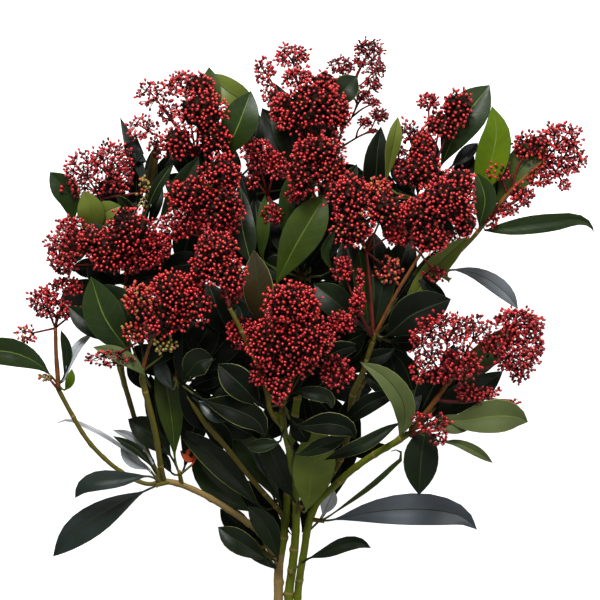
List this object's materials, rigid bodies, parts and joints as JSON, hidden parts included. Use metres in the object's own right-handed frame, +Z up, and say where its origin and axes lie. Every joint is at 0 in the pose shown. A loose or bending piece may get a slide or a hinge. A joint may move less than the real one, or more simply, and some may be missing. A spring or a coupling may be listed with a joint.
{
  "type": "bunch of cut skimmia stems",
  "caption": "Bunch of cut, branching skimmia stems with leathery evergreen leaves and domed heads of small red flower buds, lying on its side.",
  "frame": {"origin": "middle of the bunch's footprint, on the surface that it lies on", "axes": "+Z up from the surface, -Y towards the cut ends of the stems, +Y towards the crown, +X to the right seen from above with the cut ends nearest"},
  "size_m": [0.5409, 0.5181, 0.1863],
  "materials": {
    "green_stem": "smooth olive green young bark with pale dots",
    "tan_bark": "matt tan older bark, finely furrowed",
    "leaf": "thick leathery leaf, glossy dark green above, paler beneath, pale midrib and margin",
    "bud": "small round satin red flower buds on dark red stalks"
  },
  "bodies": {
    "root": {"stem_middle": "green_stem", "stem_left": "green_stem", "stem_right": "green_stem", "bough_left": "tan_bark", "shoot_left_front": "green_stem", "shoot_left_tall": "green_stem", "shoot_far_left": "green_stem", "shoot_inner_left": "green_stem", "shoot_centre_left": "green_stem", "shoot_right_centre": "green_stem", "shoot_far_right": "green_stem", "shoot_back_right": "green_stem", "shoot_back_left": "green_stem", "shoot_left_back": "green_stem", "leaves_centre": "leaf", "leaves_left_front": "leaf", "leaves_left_tall": "leaf", "leaves_far_left": "leaf", "leaves_inner_left": "leaf", "leaves_right_centre": "leaf", "leaves_right": "leaf", "leaves_far_right": "leaf", "leaves_far_right_side": "leaf", "leaves_back_right": "leaf", "leaves_back_middle": "leaf", "leaves_back_top": "leaf", "leaves_back_left": "leaf", "leaves_left_back": "leaf", "leaves_low_left": "leaf", "leaves_low_upright": "leaf", "leaves_low_foot": "leaf", "leaves_low_centre": "leaf", "leaves_low_middle": "leaf", "leaves_low_right": "leaf", "leaves_foot_front": "leaf", "leaves_under_centre": "leaf", "bloom_centre": "bud", "bloom_centre_left": "bud", "bloom_left_front": "bud", "bloom_left": "bud", "bloom_far_left": "bud", "bloom_left_top": "bud", "bloom_upper_left": "bud", "bloom_top_left": "bud", "bloom_top": "bud", "bloom_upper_centre": "bud", "bloom_small_centre": "bud", "bloom_top_right": "bud", "bloom_right_top": "bud", "bloom_centre_right": "bud", "bloom_right_upper": "bud", "bloom_inner_right": "bud", "bloom_right": "bud", "bloom_right_outer": "bud", "bloom_right_front": "bud", "bloom_far_right": "bud", "bloom_under_left": "bud", "bloom_under_right": "bud", "bloom_under_top": "bud", "bloom_under_centre": "bud"}
  },
  "joints": []
}
